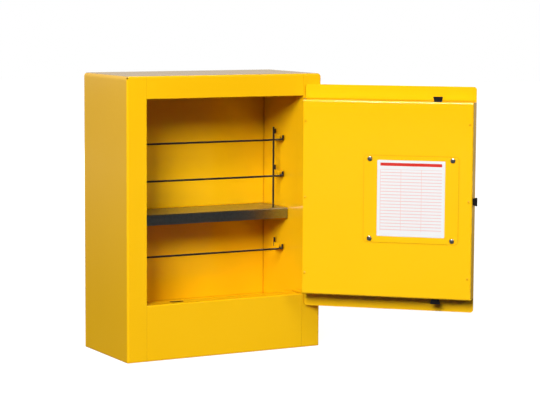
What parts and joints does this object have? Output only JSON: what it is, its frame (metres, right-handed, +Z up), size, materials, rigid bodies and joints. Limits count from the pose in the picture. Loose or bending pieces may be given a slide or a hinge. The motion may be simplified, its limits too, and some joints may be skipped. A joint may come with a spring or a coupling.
{
  "type": "flammable safety cabinet",
  "caption": "Countertop steel safety cabinet for spray cans: double walls, a sump, a shelf, wire can rails and a self-latching hinged door standing open.",
  "frame": {"origin": "middle of the cabinet's base, on the surface that it stands on", "axes": "+Z up, the door opening faces -Y, the hinge side is +X"},
  "size_m": [0.6488, 0.4717, 0.559],
  "materials": {
    "yellow_enamel": "glossy powder coat",
    "galvanised_steel": "galvanised",
    "black_wire": "satin coated wire",
    "plated_steel": "zinc plated",
    "black_nylon": "moulded",
    "black_handle": "fine textured",
    "lock_chrome": "polished",
    "stud_brass": "turned"
  },
  "bodies": {
    "cabinet": {"left_side_panel": "yellow_enamel", "right_side_panel": "yellow_enamel", "top_panel": "yellow_enamel", "front_apron": "yellow_enamel", "outer_back": "yellow_enamel", "base_pan": "yellow_enamel", "inner_left_wall": "yellow_enamel", "inner_right_wall": "yellow_enamel", "inner_top": "yellow_enamel", "inner_back": "yellow_enamel", "sump_pan": "yellow_enamel", "wall_spacers": "galvanised_steel", "shelf": "galvanised_steel", "shelf_brackets": "galvanised_steel", "upper_can_rail": "black_wire", "lower_can_rail": "black_wire", "rail_hooks": "yellow_enamel", "hinge_jamb_leaf": "yellow_enamel", "hinge_pin": "plated_steel", "ground_stud": "stud_brass", "ground_nut": "stud_brass"},
    "door": {"door_skin": "yellow_enamel", "door_pan": "yellow_enamel", "access_cover": "yellow_enamel", "cover_screws": "plated_steel", "pan_rivets": "yellow_enamel", "hinge_door_leaf": "yellow_enamel", "handle_cup": "black_handle", "paddle_pin": "plated_steel", "latch_frame": "plated_steel", "rod_guides": "plated_steel", "upper_spring": "plated_steel", "lower_spring": "plated_steel", "lock_barrel": "lock_chrome"},
    "paddle": {"paddle": "black_handle"},
    "side_latch": {"latch_slide": "plated_steel", "side_bolt": "black_nylon"},
    "upper_latch": {"upper_rod": "plated_steel", "upper_bolt": "black_nylon"},
    "lower_latch": {"lower_rod": "plated_steel", "lower_bolt": "black_nylon"},
    "lock": {"lock_plug": "lock_chrome", "lock_cam": "plated_steel"}
  },
  "joints": [
    {"name": "door_swing", "type": "hinge", "parent": "cabinet", "child": "door", "pos_m": [0.1762, -0.107, 0.3125], "axis": [0, 0, 1], "range_deg": [-137, 28]},
    {"name": "paddle_pull", "type": "hinge", "parent": "door", "child": "paddle", "pos_m": [0.39644, -0.31511, 0.3125], "axis": [0, 0, -1], "range_deg": [0, 26]},
    {"name": "side_bolt_slide", "type": "slide", "parent": "door", "child": "side_latch", "axis": [-0.7314, 0.682, 0], "range_m": [0, 0.00976], "stiffness_N_per_m": 600, "springref_m": -0.006},
    {"name": "upper_rod_slide", "type": "slide", "parent": "door", "child": "upper_latch", "axis": [0, 0, -1], "range_m": [0, 0.00976], "deforming": ["upper_spring"]},
    {"name": "lower_rod_slide", "type": "slide", "parent": "door", "child": "lower_latch", "axis": [0, 0, 1], "range_m": [0, 0.00976], "deforming": ["lower_spring"]},
    {"name": "key_turn", "type": "hinge", "parent": "door", "child": "lock", "pos_m": [0.37732, -0.29455, 0.2295], "axis": [0.682, 0.7314, 0], "range_deg": [0, 90]}
  ],
  "couplings": [
    {"joint": "paddle_pull", "follows": "side_bolt_slide", "rad_per_m": 46.493},
    {"joint": "upper_rod_slide", "follows": "side_bolt_slide", "ratio": 1},
    {"joint": "lower_rod_slide", "follows": "side_bolt_slide", "ratio": 1}
  ]
}
